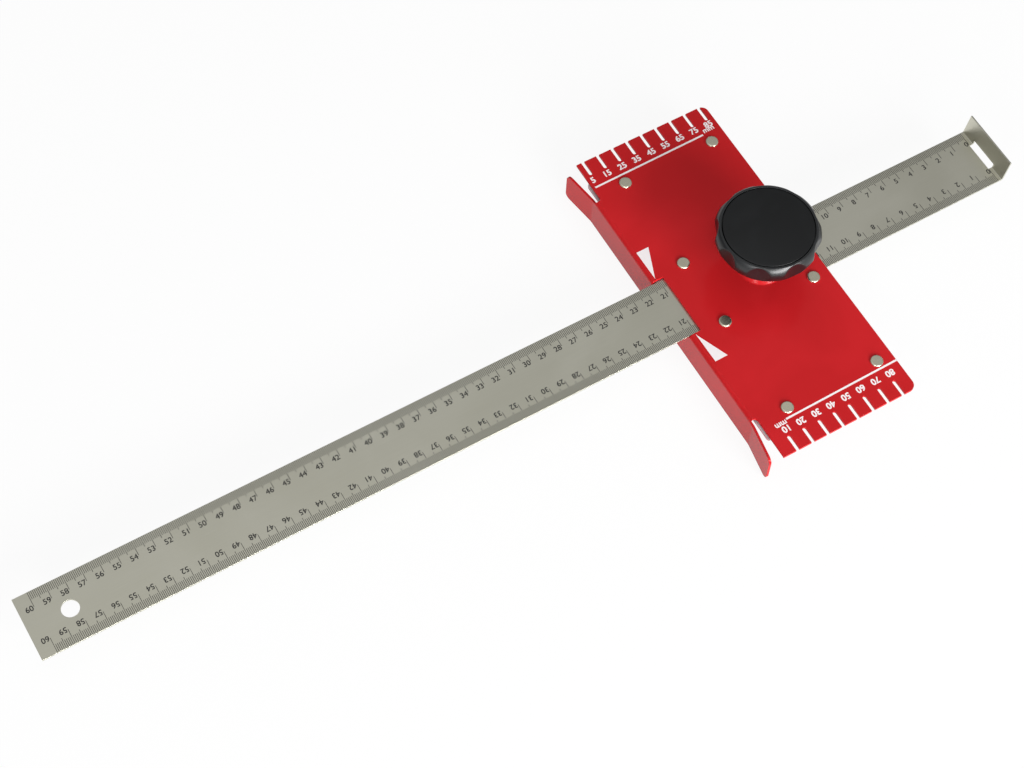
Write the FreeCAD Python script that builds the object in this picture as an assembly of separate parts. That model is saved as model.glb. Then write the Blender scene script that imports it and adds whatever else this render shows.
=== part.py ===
import FreeCAD, Part
import math
import os

# Drywall marking gauge: a folded ruler that slides through a comb plate with a fence,
# clamped by a lobed knob. Millimetres. The origin is the middle of the guiding face, the
# inner face of the fence that runs along the board's edge. +X runs over the board towards
# the ruler's hook, +Y along the fence and +Z up.

# Backing plate, with its edge folded down as the guiding face
BOARD_FACE_Z = 8.0  # the face that lies on the board, above the origin
BACKING_THICKNESS = 1.5
BACKING_INSET = 1.2  # how far its right edge stops short of the comb plate's
BACKING_END_INSET = 13.0  # the same at its two ends
BACKING_CORNER_RADIUS = 2.5
LIP_END_GAP = 2.0  # from its folded lip to the comb plate's corner reliefs
LIP_DEPTH = 16.0
BEND_RADIUS = 1.0  # inside radius of the two plates' bends

# Ruler, folded up into a hook at its zero end
RULER_WIDTH = 39.0
RULER_THICKNESS = 1.0
RULER_READING = 211.5  # what the ruler reads at the guiding face as stored
RULER_TAIL = 608.7  # from its zero to its plain end
RULER_PLAY = 0.1  # above and below it, between the plates
RULER_SIDE_PLAY = 0.1  # between its edges and the guide rivets
HOOK_HEIGHT = 14.3
HOOK_LEAN = 10.0  # degrees past square
HOOK_RADIUS = 0.5
HOOK_SET_BACK = 2.4  # from the zero to the fold
ZERO_SLOT_LENGTH = 19.0
ZERO_SLOT_RISE = 2.5  # how far the slot runs up the hook
HANGING_HOLE_RADIUS = 5.0
HANGING_HOLE_INSET = 24.7  # from the plain end

# Comb plate and its fence
PLATE_THICKNESS = 1.5
PLATE_LENGTH = 220.0
PLATE_MARGIN = 4.25  # outside the first and last slots of the far comb
PLATE_CORNER_RADIUS = 4.5
FENCE_GAP = 0.2  # between the fence and the backing plate's lip
FENCE_DEPTH = 19.0  # below the board face
RELIEF_LENGTH = 28.0  # of the corner reliefs, from the plate's ends
EAR_INSET = 2.1  # from an ear's tip to the plate's end
EAR_FLARE = 9.0  # degrees
EAR_BEND_RADIUS = 12.0
EAR_CORNER_RADIUS = 3.5
COMB_SLOT_WIDTH = 2.1
COMB_SLOT_DEPTH = 10.0
COMB_PITCH = 10.0
FAR_COMB_FIRST = 5.0
FAR_COMB_COUNT = 9
NEAR_COMB_FIRST = 10.0
NEAR_COMB_COUNT = 8
WINDOW_RIGHT = 4.3
WINDOW_PLAY = 0.6
SILL_DROP = 0.3  # from the ruler's underside to the window's sill

# Raised boss under the knob
BOSS_X = 57.5
BOSS_FOOT_RADIUS = 14.0
BOSS_TOP_RADIUS = 10.0
BOSS_HEIGHT = 4.5
BOSS_FILLET = 1.2

# Rivets and the spacers on the corner rivets
RIVET_INSETS = (18.45, 10.25)  # from the plate's left and right edges
CORNER_RIVET_INSET = 24.7  # from the plate's ends
RIVET_RADIUS = 2.5
RIVET_HEAD_RADIUS = 3.8
RIVET_HEAD_HEIGHT = 1.0
RIVET_HEAD_ROUNDING = 0.8
RIVET_TAIL_RADIUS = 3.4
RIVET_TAIL_HEIGHT = 0.9
RIVET_HOLE_PLAY = 0.05
SPACER_RADIUS = 5.0

# Clamp: threaded bush, screw and pressure pad
SCREW_RADIUS = 4.0
THREAD_PLAY = 0.05
SCREW_TIP_RADIUS = 2.5
SCREW_TIP_LENGTH = 0.65
SCREW_HEAD_FLATS = 13.0
SCREW_HEAD_HEIGHT = 5.3
BUSH_FLANGE_RADIUS = 8.5
BUSH_FLANGE_HEIGHT = 2.0
BUSH_NECK_RADIUS = 6.5
BUSH_COLLAR_RADIUS = 7.6
BUSH_COLLAR_HEIGHT = 0.8
PAD_RADIUS = 8.0
PAD_THICKNESS = 1.2
PAD_PLAY = 0.05  # over the ruler, and round and over the screw's tip

# Knob
KNOB_LIFT = 0.5  # over the bush, with the clamp tight
KNOB_HEIGHT = 33.0
KNOB_RADIUS = 30.2
KNOB_BULGE_DROP = 6.5  # from the rim down to the widest ring
KNOB_RIM_RADIUS = 27.6
KNOB_FOOT_RADIUS = 26.2
KNOB_HEAD_HEIGHT = 14.5
KNOB_HUB_RADIUS = 11.0
KNOB_LOBES = 9
SCALLOP_RADIUS = 13.5
SCALLOP_FLOOR_RADIUS = 27.9
SCALLOP_PHASE = 27.4  # degrees
CORE_INNER_RADIUS = 13.0
CORE_OUTER_RADIUS = 23.5
CORE_DEPTH = 9.0
CORE_RIB_THICKNESS = 2.0
CAP_RADIUS = 25.9
CAP_GROOVE = 0.5  # the ring round the cap
CAP_SEAT_DEPTH = 3.0
CAP_PROUD = 1.2
CAP_ROUNDING = 0.6
HEAD_POCKET_PLAY = 0.1

# Levels and places that follow
PLATE_LEFT = FAR_COMB_FIRST - PLATE_MARGIN
PLATE_RIGHT = FAR_COMB_FIRST + COMB_PITCH * (FAR_COMB_COUNT - 1) + PLATE_MARGIN
PLATE_END = PLATE_LENGTH / 2
RELIEF_START = PLATE_END - RELIEF_LENGTH
BACKING_END = PLATE_END - BACKING_END_INSET
LIP_END = RELIEF_START - LIP_END_GAP
RIVET_X = (PLATE_LEFT + RIVET_INSETS[0], PLATE_RIGHT - RIVET_INSETS[1])
CORNER_RIVET_Y = PLATE_END - CORNER_RIVET_INSET
BACKING_TOP = BOARD_FACE_Z + BACKING_THICKNESS
RULER_BOTTOM = BACKING_TOP + RULER_PLAY
RULER_TOP = RULER_BOTTOM + RULER_THICKNESS
PLATE_BOTTOM = RULER_TOP + RULER_PLAY
PLATE_TOP = PLATE_BOTTOM + PLATE_THICKNESS
FENCE_INNER_X = -(BACKING_THICKNESS + FENCE_GAP)
FENCE_OUTER_X = FENCE_INNER_X - PLATE_THICKNESS
FENCE_BOTTOM = BOARD_FACE_Z - FENCE_DEPTH
LIP_BOTTOM = BOARD_FACE_Z - LIP_DEPTH
EAR_TOP = PLATE_TOP - BEND_RADIUS - PLATE_THICKNESS
RELIEF_RADIUS = (PLATE_LEFT - FENCE_OUTER_X) / 2
RELIEF_X = (PLATE_LEFT + FENCE_OUTER_X) / 2
FLARE_START = RELIEF_START + RELIEF_RADIUS
GUIDE_RIVET_Y = RULER_WIDTH / 2 + RULER_SIDE_PLAY + RIVET_RADIUS
BOSS_TOP = PLATE_TOP + BOSS_HEIGHT
BUSH_BOTTOM = PLATE_BOTTOM + BOSS_HEIGHT - BUSH_FLANGE_HEIGHT
BUSH_TOP = BOSS_TOP + BUSH_COLLAR_HEIGHT
PAD_BOTTOM = RULER_TOP + PAD_PLAY
PAD_TOP = PAD_BOTTOM + PAD_THICKNESS
KNOB_BOTTOM = BUSH_TOP + KNOB_LIFT
KNOB_TOP = KNOB_BOTTOM + KNOB_HEIGHT
CAP_SEAT = KNOB_TOP - CAP_SEAT_DEPTH
SCREW_HEAD_SEAT = CAP_SEAT - SCREW_HEAD_HEIGHT - HEAD_POCKET_PLAY
OVERCUT = 1.0  # how far a cutting tool runs past the face it cuts


def point(x, y, z):
    return FreeCAD.Vector(x, y, z)


UP = point(0, 0, 1)
ALONG_Y = point(0, 1, 0)
CLAMP_AXIS = point(BOSS_X, 0, 0)


def block(low, high):
    size = [b - a for a, b in zip(low, high)]
    return Part.makeBox(*size, point(*low))


def upright_cylinder(radius, x, y, bottom, top):
    return Part.makeCylinder(radius, top - bottom, point(x, y, bottom), UP)


def upright_cone(bottom_radius, top_radius, x, y, bottom, top):
    return Part.makeCone(bottom_radius, top_radius, top - bottom, point(x, y, bottom), UP)


def extruded_section(corners, half_length):
    """A closed XZ outline, extruded along Y and centred on the ruler's centre line."""
    outline = [point(x, -half_length, z) for x, z in corners]
    face = Part.Face(Part.makePolygon(outline + outline[:1]))
    return face.extrude(point(0, 2 * half_length, 0))


def upright_edges(solid):
    return [edge for edge in solid.Edges if edge.BoundBox.ZLength > 1e-6]


def fillet_long_edge(solid, radius, x, z):
    """Rounds the edge that runs along Y at the given place."""
    found = [
        edge
        for edge in solid.Edges
        if all(math.hypot(v.X - x, v.Z - z) < 1e-6 for v in edge.Vertexes)
    ]
    return solid.makeFillet(radius, found)


def fillet_ring(solid, radius, ring_radius, z):
    """Rounds the circular edge that has this radius and height."""
    found = [
        edge
        for edge in solid.Edges
        if isinstance(edge.Curve, Part.Circle)
        and abs(edge.Curve.Radius - ring_radius) < 1e-6
        and abs(edge.Curve.Center.z - z) < 1e-6
    ]
    return solid.makeFillet(radius, found)


def both_ends(shape):
    """The shape and its mirror image across the ruler's centre line."""
    return [shape, shape.mirror(point(0, 0, 0), ALONG_Y)]


def revolved(edges):
    """A solid of revolution about the clamp's axis, from an outline in X (radius) and Z."""
    face = Part.Face(Part.Wire(edges))
    face.translate(CLAMP_AXIS)
    return face.revolve(CLAMP_AXIS, UP, 360)


def outline(points):
    """Closed straight edges through (radius, height) points."""
    places = [point(radius, 0, z) for radius, z in points]
    pairs = zip(places, places[1:] + places[:1])
    return [Part.makeLine(a, b) for a, b in pairs]


def folded_plate(thickness, inner_x, flat_right, flat_bottom, fold_bottom, half_length):
    """A sheet with its left edge bent square downwards, both bend radii included."""
    outer_x = inner_x - thickness
    top = flat_bottom + thickness
    section = [
        (outer_x, fold_bottom),
        (outer_x, top),
        (flat_right, top),
        (flat_right, flat_bottom),
        (inner_x, flat_bottom),
        (inner_x, fold_bottom),
    ]
    sheet = extruded_section(section, half_length)
    sheet = fillet_long_edge(sheet, BEND_RADIUS + thickness, outer_x, top)
    return fillet_long_edge(sheet, BEND_RADIUS, inner_x, flat_bottom)


def rivet_places():
    corners = [(x, y) for y in (CORNER_RIVET_Y, -CORNER_RIVET_Y) for x in RIVET_X]
    guides = [(x, y) for y in (GUIDE_RIVET_Y, -GUIDE_RIVET_Y) for x in RIVET_X]
    return corners, guides


def ruler():
    zero_x = RULER_READING
    tail_x = zero_x - RULER_TAIL
    fold_x = zero_x + HOOK_SET_BACK
    lean = math.radians(HOOK_LEAN)
    rise = (math.sin(lean), math.cos(lean))
    across = (math.cos(lean), -math.sin(lean))
    tip_x = fold_x + HOOK_HEIGHT * rise[0]
    tip_z = RULER_TOP + HOOK_HEIGHT * rise[1]
    outer_fold_x = fold_x + RULER_THICKNESS * math.tan((math.pi / 2 - lean) / 2)
    section = [
        (tail_x, RULER_TOP),
        (fold_x, RULER_TOP),
        (tip_x, tip_z),
        (tip_x + RULER_THICKNESS * across[0], tip_z + RULER_THICKNESS * across[1]),
        (outer_fold_x, RULER_BOTTOM),
        (tail_x, RULER_BOTTOM),
    ]
    strip = extruded_section(section, RULER_WIDTH / 2)
    strip = fillet_long_edge(strip, HOOK_RADIUS, fold_x, RULER_TOP)
    strip = fillet_long_edge(
        strip, HOOK_RADIUS + RULER_THICKNESS, outer_fold_x, RULER_BOTTOM
    )
    zero_slot = block(
        (zero_x, -ZERO_SLOT_LENGTH / 2, RULER_BOTTOM - OVERCUT),
        (tip_x + OVERCUT, ZERO_SLOT_LENGTH / 2, RULER_TOP + ZERO_SLOT_RISE),
    )
    hole_x = tail_x + HANGING_HOLE_INSET
    hanging_hole = upright_cylinder(
        HANGING_HOLE_RADIUS, hole_x, 0, RULER_BOTTOM - OVERCUT, RULER_TOP + OVERCUT
    )
    return strip.cut([zero_slot, hanging_hole])


def ear():
    """The flared end of the fence beyond one relief, in plan a strip with a soft kink."""
    flare = math.radians(EAR_FLARE)
    centre = point(FENCE_OUTER_X - EAR_BEND_RADIUS, FLARE_START, FENCE_BOTTOM)

    def on_arc(radius, angle):
        return centre + point(radius * math.cos(angle), radius * math.sin(angle), 0)

    tip_y = PLATE_END - EAR_INSET
    length = (tip_y - on_arc(EAR_BEND_RADIUS, flare).y) / math.cos(flare)
    reach = point(-math.sin(flare), math.cos(flare), 0) * length
    outer_radius = EAR_BEND_RADIUS
    inner_radius = EAR_BEND_RADIUS + PLATE_THICKNESS
    outer = [on_arc(outer_radius, flare * share) for share in (0, 0.5, 1)]
    inner = [on_arc(inner_radius, flare * share) for share in (0, 0.5, 1)]
    plan = [
        Part.Arc(*outer).toShape(),
        Part.makeLine(outer[2], outer[2] + reach),
        Part.makeLine(outer[2] + reach, inner[2] + reach),
        Part.makeLine(inner[2] + reach, inner[2]),
        Part.Arc(*reversed(inner)).toShape(),
        Part.makeLine(inner[0], outer[0]),
    ]
    wall = Part.Face(Part.Wire(plan)).extrude(UP * (EAR_TOP - FENCE_BOTTOM))
    tip = (outer[2] + inner[2]) / 2 + reach
    tip_edges = [
        edge
        for edge in wall.Edges
        if abs(edge.CenterOfMass.x - tip.x) < 1e-6
        and abs(edge.CenterOfMass.y - tip.y) < 1e-6
    ]
    return wall.makeFillet(EAR_CORNER_RADIUS, tip_edges)


def relief():
    """The corner relief that frees one ear from the comb plate."""
    cut_top = PLATE_TOP + OVERCUT
    round_end = upright_cylinder(RELIEF_RADIUS, RELIEF_X, FLARE_START, EAR_TOP, cut_top)
    straight = block(
        (FENCE_OUTER_X - OVERCUT, FLARE_START, EAR_TOP),
        (PLATE_LEFT, PLATE_END + OVERCUT, cut_top),
    )
    return round_end.fuse(straight)


def comb_slots(first, count, side):
    """The pencil slots of one comb: side is 1 at the far end and -1 at the near end."""
    radius = COMB_SLOT_WIDTH / 2
    mouth = side * (PLATE_END + OVERCUT)
    end = side * (PLATE_END - COMB_SLOT_DEPTH + radius)
    low, high = PLATE_BOTTOM - OVERCUT, PLATE_TOP + OVERCUT
    slots = []
    for step in range(count):
        x = first + COMB_PITCH * step
        slots.append(block((x - radius, min(mouth, end), low), (x + radius, max(mouth, end), high)))
        slots.append(upright_cylinder(radius, x, end, low, high))
    return slots


def boss_wall(foot_radius, bottom):
    """One face of the pressed boss, as a solid cone standing on the sheet."""
    top_radius = foot_radius - (BOSS_FOOT_RADIUS - BOSS_TOP_RADIUS)
    return upright_cone(foot_radius, top_radius, BOSS_X, 0, bottom, bottom + BOSS_HEIGHT)


def slider_plate():
    flat = block(
        (PLATE_LEFT, -PLATE_END, PLATE_BOTTOM),
        (PLATE_RIGHT, PLATE_END, PLATE_TOP),
    )
    right_corners = [
        edge for edge in upright_edges(flat) if edge.CenterOfMass.x > PLATE_RIGHT - 1e-6
    ]
    flat = flat.makeFillet(PLATE_CORNER_RADIUS, right_corners)
    fence = folded_plate(
        PLATE_THICKNESS, FENCE_INNER_X, PLATE_RIGHT, PLATE_BOTTOM, FENCE_BOTTOM, FLARE_START
    )
    slope = (BOSS_FOOT_RADIUS - BOSS_TOP_RADIUS) / BOSS_HEIGHT
    cavity_foot = BOSS_FOOT_RADIUS + PLATE_THICKNESS * (slope - math.hypot(1, slope))
    sheet = fence.fuse([flat, boss_wall(BOSS_FOOT_RADIUS, PLATE_TOP)] + both_ends(ear()))
    sheet = sheet.removeSplitter()
    sheet = fillet_ring(sheet, BOSS_FILLET, BOSS_FOOT_RADIUS, PLATE_TOP)
    sheet = fillet_ring(sheet, BOSS_FILLET, BOSS_TOP_RADIUS, BOSS_TOP)
    window_side = RULER_WIDTH / 2 + WINDOW_PLAY
    window = block(
        (FENCE_OUTER_X - OVERCUT, -window_side, RULER_BOTTOM - SILL_DROP),
        (WINDOW_RIGHT, window_side, PLATE_TOP + OVERCUT),
    )
    bush_hole = upright_cylinder(BUSH_NECK_RADIUS, BOSS_X, 0, PLATE_TOP, BOSS_TOP + OVERCUT)
    cuts = both_ends(relief()) + [window, boss_wall(cavity_foot, PLATE_BOTTOM), bush_hole]
    cuts += comb_slots(FAR_COMB_FIRST, FAR_COMB_COUNT, 1)
    cuts += comb_slots(NEAR_COMB_FIRST, NEAR_COMB_COUNT, -1)
    corners, guides = rivet_places()
    hole_radius = RIVET_RADIUS + RIVET_HOLE_PLAY
    for x, y in corners + guides:
        cuts.append(
            upright_cylinder(hole_radius, x, y, PLATE_BOTTOM - OVERCUT, PLATE_TOP + OVERCUT)
        )
    return sheet.cut(cuts)


def backing_plate():
    right = PLATE_RIGHT - BACKING_INSET
    # Past the folded lip's ends the sheet is cut back to the guiding face
    flat = block((0, -BACKING_END, BOARD_FACE_Z), (right, BACKING_END, BACKING_TOP))
    flat = flat.makeFillet(BACKING_CORNER_RADIUS, upright_edges(flat))
    middle = block((0, -LIP_END, BOARD_FACE_Z), (right, LIP_END, BACKING_TOP))
    lip = folded_plate(BACKING_THICKNESS, 0.0, right, BOARD_FACE_Z, LIP_BOTTOM, LIP_END)
    sheet = flat.cut(middle).fuse(lip).removeSplitter()
    corners, guides = rivet_places()
    cuts = []
    for x, y in corners + guides:
        cuts.append(rivet_stem(x, y, RIVET_HOLE_PLAY))
    return sheet.cut(cuts)


def rivet_stem(x, y, play):
    """Shank and countersunk tail of a rivet, or with play the hole that takes them."""
    shank = upright_cylinder(RIVET_RADIUS + play, x, y, BOARD_FACE_Z, PLATE_TOP)
    tail = upright_cone(
        RIVET_TAIL_RADIUS + play,
        RIVET_RADIUS + play,
        x,
        y,
        BOARD_FACE_Z,
        BOARD_FACE_Z + RIVET_TAIL_HEIGHT,
    )
    return shank.fuse(tail)


def rivet(x, y):
    """A rivet with a low rounded head on the comb plate and its tail flush below."""
    head_top = PLATE_TOP + RIVET_HEAD_HEIGHT
    head = upright_cylinder(RIVET_HEAD_RADIUS, x, y, PLATE_TOP, head_top)
    head = fillet_ring(head, RIVET_HEAD_ROUNDING, RIVET_HEAD_RADIUS, head_top)
    return rivet_stem(x, y, 0).fuse(head).removeSplitter()


def spacer(x, y):
    washer = upright_cylinder(SPACER_RADIUS, x, y, BACKING_TOP, PLATE_BOTTOM)
    hole = upright_cylinder(RIVET_RADIUS + RIVET_HOLE_PLAY, x, y, BACKING_TOP, PLATE_BOTTOM)
    return washer.cut(hole)


def clamp_bush():
    bore = SCREW_RADIUS + THREAD_PLAY
    ceiling = PLATE_BOTTOM + BOSS_HEIGHT
    return revolved(
        outline(
            [
                (bore, BUSH_BOTTOM),
                (BUSH_FLANGE_RADIUS, BUSH_BOTTOM),
                (BUSH_FLANGE_RADIUS, ceiling),
                (BUSH_NECK_RADIUS, ceiling),
                (BUSH_NECK_RADIUS, BOSS_TOP),
                (BUSH_COLLAR_RADIUS, BOSS_TOP),
                (BUSH_NECK_RADIUS, BUSH_TOP),
                (bore, BUSH_TOP),
            ]
        )
    )


def pressure_pad():
    disc = upright_cylinder(PAD_RADIUS, BOSS_X, 0, PAD_BOTTOM, PAD_TOP)
    socket = upright_cylinder(
        SCREW_TIP_RADIUS + PAD_PLAY, BOSS_X, 0, PAD_TOP - SCREW_TIP_LENGTH, PAD_TOP
    )
    return disc.cut(socket)


def hexagon(flats, bottom, top):
    corners = []
    for turn in range(6):
        angle = math.radians(60 * turn + 30)
        radius = flats / math.sqrt(3)
        corners.append(
            CLAMP_AXIS + point(radius * math.cos(angle), radius * math.sin(angle), bottom)
        )
    face = Part.Face(Part.makePolygon(corners + corners[:1]))
    return face.extrude(UP * (top - bottom))


def clamp_screw():
    shoulder = PAD_TOP + PAD_PLAY
    tip = upright_cylinder(
        SCREW_TIP_RADIUS, BOSS_X, 0, shoulder - SCREW_TIP_LENGTH, shoulder
    )
    shank = upright_cylinder(SCREW_RADIUS, BOSS_X, 0, shoulder, SCREW_HEAD_SEAT)
    head_top = SCREW_HEAD_SEAT + SCREW_HEAD_HEIGHT
    head = hexagon(SCREW_HEAD_FLATS, SCREW_HEAD_SEAT, head_top)
    return shank.fuse([tip, head]).removeSplitter()


def knob_outline():
    """The knob's outer form: hub, head with a bulging side, rim and the cap's seat."""
    head_bottom = KNOB_TOP - KNOB_HEAD_HEIGHT
    bulge = KNOB_TOP - KNOB_BULGE_DROP
    seat_radius = CAP_RADIUS + CAP_GROOVE

    def bow(start, end, swell):
        """An arc from start to end whose middle stands off the chord by swell."""
        middle = (start + end) / 2
        chord = end - start
        outward = point(chord.z, 0, -chord.x).normalize()
        return Part.Arc(start, middle + outward * swell, end).toShape()

    foot = point(KNOB_FOOT_RADIUS, 0, head_bottom)
    waist = point(KNOB_RADIUS, 0, bulge)
    rim = point(KNOB_RIM_RADIUS, 0, KNOB_TOP)
    path = [
        point(0, 0, KNOB_BOTTOM),
        point(KNOB_HUB_RADIUS, 0, KNOB_BOTTOM),
        point(KNOB_HUB_RADIUS, 0, head_bottom),
        foot,
    ]
    top = [
        rim,
        point(seat_radius, 0, KNOB_TOP),
        point(seat_radius, 0, CAP_SEAT),
        point(0, 0, CAP_SEAT),
        path[0],
    ]
    edges = [Part.makeLine(a, b) for a, b in zip(path, path[1:])]
    edges.append(bow(foot, waist, (KNOB_RADIUS - KNOB_FOOT_RADIUS) / 5))
    edges.append(bow(waist, rim, (KNOB_RADIUS - KNOB_RIM_RADIUS) / 3))
    edges += [Part.makeLine(a, b) for a, b in zip(top, top[1:])]
    return edges


def knob_core():
    """The pockets moulded into the head's underside, one between each pair of ribs."""
    head_bottom = KNOB_TOP - KNOB_HEAD_HEIGHT
    low, high = head_bottom - OVERCUT, head_bottom + CORE_DEPTH
    ring = upright_cylinder(CORE_OUTER_RADIUS, BOSS_X, 0, low, high).cut(
        upright_cylinder(CORE_INNER_RADIUS, BOSS_X, 0, low, high)
    )
    half = CORE_RIB_THICKNESS / 2
    ribs = []
    for lobe in range(KNOB_LOBES):
        rib = block((BOSS_X, -half, low), (BOSS_X + CORE_OUTER_RADIUS + OVERCUT, half, high))
        rib.rotate(CLAMP_AXIS, UP, SCALLOP_PHASE + 360 * (lobe + 0.5) / KNOB_LOBES)
        ribs.append(rib)
    return ring.cut(ribs)


def knob_body():
    centre_radius = SCALLOP_FLOOR_RADIUS + SCALLOP_RADIUS
    head_bottom = KNOB_TOP - KNOB_HEAD_HEIGHT
    cuts = [knob_core()]
    for lobe in range(KNOB_LOBES):
        angle = math.radians(SCALLOP_PHASE + 360 * lobe / KNOB_LOBES)
        x = BOSS_X + centre_radius * math.cos(angle)
        y = centre_radius * math.sin(angle)
        cuts.append(
            upright_cylinder(SCALLOP_RADIUS, x, y, head_bottom - OVERCUT, KNOB_TOP + OVERCUT)
        )
    pocket_flats = SCREW_HEAD_FLATS + 2 * HEAD_POCKET_PLAY
    cuts.append(hexagon(pocket_flats, SCREW_HEAD_SEAT, CAP_SEAT + OVERCUT))
    cuts.append(
        upright_cylinder(
            SCREW_RADIUS + THREAD_PLAY, BOSS_X, 0, KNOB_BOTTOM - OVERCUT, CAP_SEAT
        )
    )
    return revolved(knob_outline()).cut(cuts)


def knob_cap():
    top = KNOB_TOP + CAP_PROUD
    disc = upright_cylinder(CAP_RADIUS, BOSS_X, 0, CAP_SEAT, top)
    return fillet_ring(disc, CAP_ROUNDING, CAP_RADIUS, top)


def parts():
    corners, guides = rivet_places()
    nodes = {
        "ruler": ruler(),
        "slider_plate": slider_plate(),
        "backing_plate": backing_plate(),
        "clamp_bush": clamp_bush(),
        "pressure_pad": pressure_pad(),
        "clamp_screw": clamp_screw(),
        "knob_body": knob_body(),
        "knob_cap": knob_cap(),
    }
    for number, (x, y) in enumerate(corners, 1):
        nodes[f"corner_rivet_{number}"] = rivet(x, y)
        nodes[f"spacer_{number}"] = spacer(x, y)
    for number, (x, y) in enumerate(guides, 1):
        nodes[f"guide_rivet_{number}"] = rivet(x, y)
    return nodes


os.makedirs("parts", exist_ok=True)
for name, shape in parts().items():
    print(name, shape.ShapeType, len(shape.Solids), shape.isValid(), round(shape.Volume, 2))
    shape.exportStep(f"parts/{name}.step")
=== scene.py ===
import math

import bmesh
import bpy
from mathutils import Matrix, Vector


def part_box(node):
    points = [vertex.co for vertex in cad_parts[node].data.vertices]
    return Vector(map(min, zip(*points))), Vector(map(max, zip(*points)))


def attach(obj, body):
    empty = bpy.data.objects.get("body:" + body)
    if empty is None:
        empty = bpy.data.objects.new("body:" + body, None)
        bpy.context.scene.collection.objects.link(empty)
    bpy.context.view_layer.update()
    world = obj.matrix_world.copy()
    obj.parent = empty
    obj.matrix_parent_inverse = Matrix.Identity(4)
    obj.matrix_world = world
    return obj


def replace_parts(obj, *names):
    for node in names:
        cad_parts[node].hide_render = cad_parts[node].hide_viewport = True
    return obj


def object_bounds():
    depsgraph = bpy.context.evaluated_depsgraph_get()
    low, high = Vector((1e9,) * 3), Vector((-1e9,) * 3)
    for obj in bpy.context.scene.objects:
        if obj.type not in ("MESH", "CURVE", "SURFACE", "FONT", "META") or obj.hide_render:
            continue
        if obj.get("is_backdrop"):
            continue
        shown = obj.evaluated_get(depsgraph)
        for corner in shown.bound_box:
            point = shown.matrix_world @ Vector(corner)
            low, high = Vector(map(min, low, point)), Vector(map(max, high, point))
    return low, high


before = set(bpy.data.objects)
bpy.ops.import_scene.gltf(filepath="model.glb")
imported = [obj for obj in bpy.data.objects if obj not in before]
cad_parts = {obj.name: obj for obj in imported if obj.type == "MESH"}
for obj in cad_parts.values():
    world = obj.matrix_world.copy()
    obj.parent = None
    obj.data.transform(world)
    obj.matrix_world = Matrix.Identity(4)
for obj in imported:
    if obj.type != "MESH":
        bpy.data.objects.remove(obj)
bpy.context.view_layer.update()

# Sizes and places are in millimetres; a finished mesh is scaled to metres at its end
MM = 0.001
CENTIMETRE = 10.0

# Sheets
COMB_SHEET = 1.5
RULER_SHEET = 1.0
EDGE_ROUNDING = 0.15  # the tumbled edges of the sheets

# Marks stand a little out of the surface that they are etched or printed on
MARK_THICKNESS = 0.03
MARK_SINK = 0.01
FACE_HEIGHT = 0.7  # of the figures, at a size of 1
FIGURE_CURVE_STEPS = 4

# Ruler scales
RULER_ZERO = 211.5
RULER_CENTIMETRES = 60
TICK_WIDTH = 0.3
TICK_LENGTHS = (4.9, 6.3, 9.3)  # millimetre, half and whole centimetre
TICK_EDGE_GAP = 0.15
RULER_FIGURE_HEIGHT = 3.2
RULER_FIGURE_INSET = 9.6  # from the ruler's edge to the figures' middle
RULER_FIGURE_WEIGHT = 0.09
RULER_FIGURE_ASIDE = 2.7  # from a tick to its figure's middle, away from the zero
ZERO_FIGURE_INSET = 8.4  # the figures 0 stand nearer to the edge and to their tick
ZERO_FIGURE_ASIDE = 1.3

# Comb scales
COMB_FIGURE_HEIGHT = 3.8
COMB_FIGURE_WEIGHT = 0.2
COMB_FIGURES_Y = 96.2
COMB_LINE_Y = 91.1
COMB_LINE_THICKNESS = 1.15
UNIT_HEIGHT = 3.4
UNIT_WEIGHT = 0.16
PRINT_SKEW = math.radians(0.7)  # the printing sits a little askew on its plate
POINTER_TIP_Y = 21.2
POINTER_END_Y = 41.2
POINTER_WIDTH = 8.1
# Name, side, first figure, figures, turn, the unit's place and where the line starts and ends
COMB_ROWS = (
    ("odd", 1, 5.0, 9, 0.0, (83.2, 92.9), (3.4, 78.2)),
    ("even", -1, 10.0, 8, math.pi, (9.3, 92.2), (13.6, 88.3)),
)

# Clamp knob
KNOB_RADIUS = 30.2
KNOB_RIM_RADIUS = 27.6
KNOB_FOOT_RADIUS = 26.2
KNOB_BULGE_DROP = 6.5  # from the rim down to the widest ring
KNOB_HEAD = 14.5
KNOB_HUB_RADIUS = 11.0
KNOB_LOBES = 9
KNOB_PHASE = math.radians(27.4)
SCALLOP_RADIUS = 13.5
SCALLOP_FLOOR = 27.9
SCALLOP_SOFTNESS = 0.5
CORE_INNER_RADIUS = 13.0
CORE_OUTER_RADIUS = 23.5
CORE_DEPTH = 9.0
CORE_RIB = 2.0
RIB_SINK = 0.3  # how much longer and taller than the core a rib is
CAP_RADIUS = 25.9
CAP_GROOVE = 0.5
CAP_SEAT_DEPTH = 3.0
CAP_CROWN = 1.1
CAP_ROUNDING = 0.4
SCREW_BORE = 4.05
POCKET_FLATS = 6.6  # from the axis to a flat of the screw head's pocket
POCKET_DEPTH = 5.4
SEGMENTS = 288  # a multiple of the pocket's six corners and of the nine lobes

# Camera, fitted to the photograph
CAMERA_PLACE = (-0.42635, -0.50604, 1.09064)
CAMERA_TURN = (29.1034, -1.2243, -30.0901)
CAMERA_LENS = 78.645

# Lamps: azimuth from +X, elevation, distance, width and height in metres, power in watts
LAMPS = {
    "front_light": (-80.0, 25.0, 2.2, 0.76, 0.76, 35.0),
    "near_light": (-101.0, 13.0, 2.2, 0.85, 0.76, 32.0),
    "side_light": (-140.0, 30.0, 2.4, 0.56, 0.56, 10.0),
}

# Light from all round: at the horizon on the near and the far side, higher up, and overhead
FRONT_GLOW = 0.7
BACK_GLOW = 0.1
UPPER_GLOW = 0.38
ZENITH_GLOW = 1.15

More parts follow.
